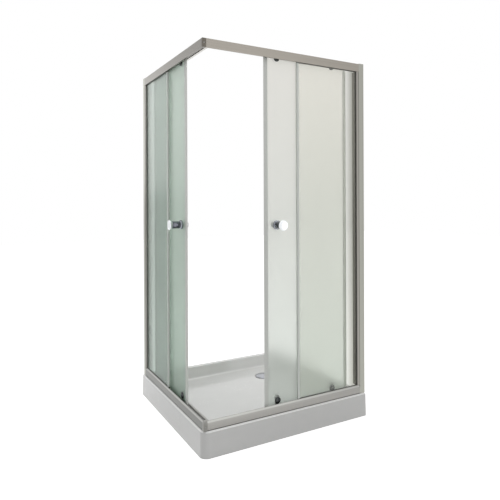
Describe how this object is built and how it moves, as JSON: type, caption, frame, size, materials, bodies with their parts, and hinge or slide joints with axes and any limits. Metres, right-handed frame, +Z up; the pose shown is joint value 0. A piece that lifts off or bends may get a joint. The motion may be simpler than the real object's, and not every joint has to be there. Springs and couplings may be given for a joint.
{
  "type": "shower enclosure with sliding doors",
  "caption": "Square corner-entry shower enclosure on a low tray: aluminium rails, frosted fixed panes and frosted doors that slide to the entry corner.",
  "frame": {"origin": "on the floor under the middle of the tray, at the sole of the central foot", "axes": "+Z up; +X and +Y point to the two walls; the entry corner is at -X, -Y. Right means the side along X, left the side along Y, as seen from outside the entry corner"},
  "size_m": [1.041, 1.041, 2.023],
  "materials": {
    "acrylic": "glossy white acrylic",
    "waste_steel": "pressed stainless steel",
    "cover_chrome": "bright chrome",
    "washer_rubber": "black rubber",
    "trap_plastic": "moulded light grey plastic",
    "tube_plastic": "moulded grey plastic",
    "board": "pressed board",
    "bar_steel": "grey painted steel tube",
    "foot_plastic": "black plastic sole on a zinc-plated bolt",
    "nut_steel": "zinc-plated steel",
    "frame_aluminium": "satin anodised, warm grey",
    "wall_aluminium": "satin anodised, warm grey",
    "corner_plastic": "metallised plastic, warm grey",
    "glass_fixed_right": "frosted, 5 mm toughened",
    "glass_fixed_left": "frosted, 5 mm toughened",
    "glass_door_right": "frosted, 5 mm toughened",
    "glass_door_left": "frosted, 5 mm toughened",
    "gasket_rubber": "dark grey glazing rubber",
    "clear_seal": "clear soft plastic",
    "magnet_seal": "grey magnetic strip",
    "screw_steel": "stainless steel",
    "roller_cap": "dark chrome",
    "hanger_steel": "turned stainless steel",
    "housing_plastic": "moulded dark grey plastic",
    "carriage_plastic": "moulded dark grey plastic, steel axle",
    "spring_steel": "spring steel",
    "wheel_nylon": "white nylon",
    "stop_rubber": "black rubber",
    "knob_chrome": "bright chrome",
    "inner_knob_chrome": "bright chrome"
  },
  "bodies": {
    "enclosure": {"bottom_corner_connector": "corner_plastic", "bottom_rail_left": "frame_aluminium", "bottom_rail_right": "frame_aluminium", "corner_screws": "screw_steel", "door_stops": "stop_rubber", "edge_seals": "clear_seal", "fixed_pane_left": "glass_fixed_left", "fixed_pane_right": "glass_fixed_right", "foot_locknuts": "nut_steel", "frame_screws": "screw_steel", "glazing_gasket_left": "gasket_rubber", "glazing_gasket_right": "gasket_rubber", "levelling_feet": "foot_plastic", "reinforcing_board": "board", "side_post_left": "frame_aluminium", "side_post_right": "frame_aluminium", "support_bars": "bar_steel", "top_corner_connector": "corner_plastic", "top_rail_left": "frame_aluminium", "top_rail_right": "frame_aluminium", "trap_body": "trap_plastic", "tray_shell": "acrylic", "wall_profile_left": "wall_aluminium", "wall_profile_right": "wall_aluminium", "waste_flange": "waste_steel", "waste_seal": "washer_rubber"},
    "right_door": {"door_pane_right": "glass_door_right", "magnetic_seal_right": "magnet_seal", "rear_seal_right": "clear_seal", "roller_caps_right": "roller_cap", "top_hangers_right": "hanger_steel", "release_housings_right": "housing_plastic", "release_springs_right": "spring_steel", "knob_right": "knob_chrome", "inner_knob_right": "inner_knob_chrome", "knob_screw_right": "screw_steel"},
    "right_front_carriage": {"release_carriage_front_right": "carriage_plastic"},
    "right_top_front_wheel": {"top_wheel_front_right": "wheel_nylon"},
    "right_bottom_front_wheel": {"bottom_wheel_front_right": "wheel_nylon"},
    "right_rear_carriage": {"release_carriage_rear_right": "carriage_plastic"},
    "right_top_rear_wheel": {"top_wheel_rear_right": "wheel_nylon"},
    "right_bottom_rear_wheel": {"bottom_wheel_rear_right": "wheel_nylon"},
    "left_door": {"door_pane_left": "glass_door_left", "magnetic_seal_left": "magnet_seal", "rear_seal_left": "clear_seal", "roller_caps_left": "roller_cap", "top_hangers_left": "hanger_steel", "release_housings_left": "housing_plastic", "release_springs_left": "spring_steel", "knob_left": "knob_chrome", "inner_knob_left": "inner_knob_chrome", "knob_screw_left": "screw_steel"},
    "left_front_carriage": {"release_carriage_front_left": "carriage_plastic"},
    "left_top_front_wheel": {"top_wheel_front_left": "wheel_nylon"},
    "left_bottom_front_wheel": {"bottom_wheel_front_left": "wheel_nylon"},
    "left_rear_carriage": {"release_carriage_rear_left": "carriage_plastic"},
    "left_top_rear_wheel": {"top_wheel_rear_left": "wheel_nylon"},
    "left_bottom_rear_wheel": {"bottom_wheel_rear_left": "wheel_nylon"},
    "drain": {"drain_cover": "cover_chrome", "dip_tube": "tube_plastic"}
  },
  "joints": [
    {"name": "right_door_slide", "type": "slide", "parent": "enclosure", "child": "right_door", "axis": [1, 0, 0], "range_m": [-0.322, 0.058]},
    {"name": "right_front_release", "type": "slide", "parent": "right_door", "child": "right_front_carriage", "axis": [0, 0, 1], "range_m": [0, 0.005], "stiffness_N_per_m": 500, "springref_m": -0.012, "deforming": ["release_springs_right"]},
    {"name": "right_top_front_roll", "type": "hinge", "parent": "right_door", "child": "right_top_front_wheel", "pos_m": [-0.068, -0.4555, 2.002], "axis": [0, 1, 0], "continuous": true},
    {"name": "right_bottom_front_roll", "type": "hinge", "parent": "right_front_carriage", "child": "right_bottom_front_wheel", "pos_m": [-0.068, -0.4555, 0.172], "axis": [0, 1, 0], "continuous": true},
    {"name": "right_rear_release", "type": "slide", "parent": "right_door", "child": "right_rear_carriage", "axis": [0, 0, 1], "range_m": [0, 0.005], "stiffness_N_per_m": 500, "springref_m": -0.012, "deforming": ["release_springs_right"]},
    {"name": "right_top_rear_roll", "type": "hinge", "parent": "right_door", "child": "right_top_rear_wheel", "pos_m": [0.285, -0.4555, 2.002], "axis": [0, 1, 0], "continuous": true},
    {"name": "right_bottom_rear_roll", "type": "hinge", "parent": "right_rear_carriage", "child": "right_bottom_rear_wheel", "pos_m": [0.285, -0.4555, 0.172], "axis": [0, 1, 0], "continuous": true},
    {"name": "left_door_slide", "type": "slide", "parent": "enclosure", "child": "left_door", "axis": [0, 1, 0], "range_m": [-0.256, 0.124]},
    {"name": "left_front_release", "type": "slide", "parent": "left_door", "child": "left_front_carriage", "axis": [0, 0, 1], "range_m": [0, 0.005], "stiffness_N_per_m": 500, "springref_m": -0.012, "deforming": ["release_springs_left"]},
    {"name": "left_top_front_roll", "type": "hinge", "parent": "left_door", "child": "left_top_front_wheel", "pos_m": [-0.4555, -0.134, 2.002], "axis": [1, 0, 0], "continuous": true},
    {"name": "left_bottom_front_roll", "type": "hinge", "parent": "left_front_carriage", "child": "left_bottom_front_wheel", "pos_m": [-0.4555, -0.134, 0.172], "axis": [1, 0, 0], "continuous": true},
    {"name": "left_rear_release", "type": "slide", "parent": "left_door", "child": "left_rear_carriage", "axis": [0, 0, 1], "range_m": [0, 0.005], "stiffness_N_per_m": 500, "springref_m": -0.012, "deforming": ["release_springs_left"]},
    {"name": "left_top_rear_roll", "type": "hinge", "parent": "left_door", "child": "left_top_rear_wheel", "pos_m": [-0.4555, 0.219, 2.002], "axis": [1, 0, 0], "continuous": true},
    {"name": "left_bottom_rear_roll", "type": "hinge", "parent": "left_rear_carriage", "child": "left_bottom_rear_wheel", "pos_m": [-0.4555, 0.219, 0.172], "axis": [1, 0, 0], "continuous": true},
    {"name": "drain_lift", "type": "slide", "parent": "enclosure", "child": "drain", "axis": [0, 0, 1], "range_m": [0, 0.08]}
  ],
  "couplings": [
    {"joint": "right_top_front_roll", "follows": "right_door_slide", "rad_per_m": 107.53},
    {"joint": "right_bottom_front_roll", "follows": "right_door_slide", "rad_per_m": 107.53},
    {"joint": "right_top_rear_roll", "follows": "right_door_slide", "rad_per_m": 107.53},
    {"joint": "right_bottom_rear_roll", "follows": "right_door_slide", "rad_per_m": 107.53},
    {"joint": "left_top_front_roll", "follows": "left_door_slide", "rad_per_m": -107.53},
    {"joint": "left_bottom_front_roll", "follows": "left_door_slide", "rad_per_m": -107.53},
    {"joint": "left_top_rear_roll", "follows": "left_door_slide", "rad_per_m": -107.53},
    {"joint": "left_bottom_rear_roll", "follows": "left_door_slide", "rad_per_m": -107.53}
  ]
}
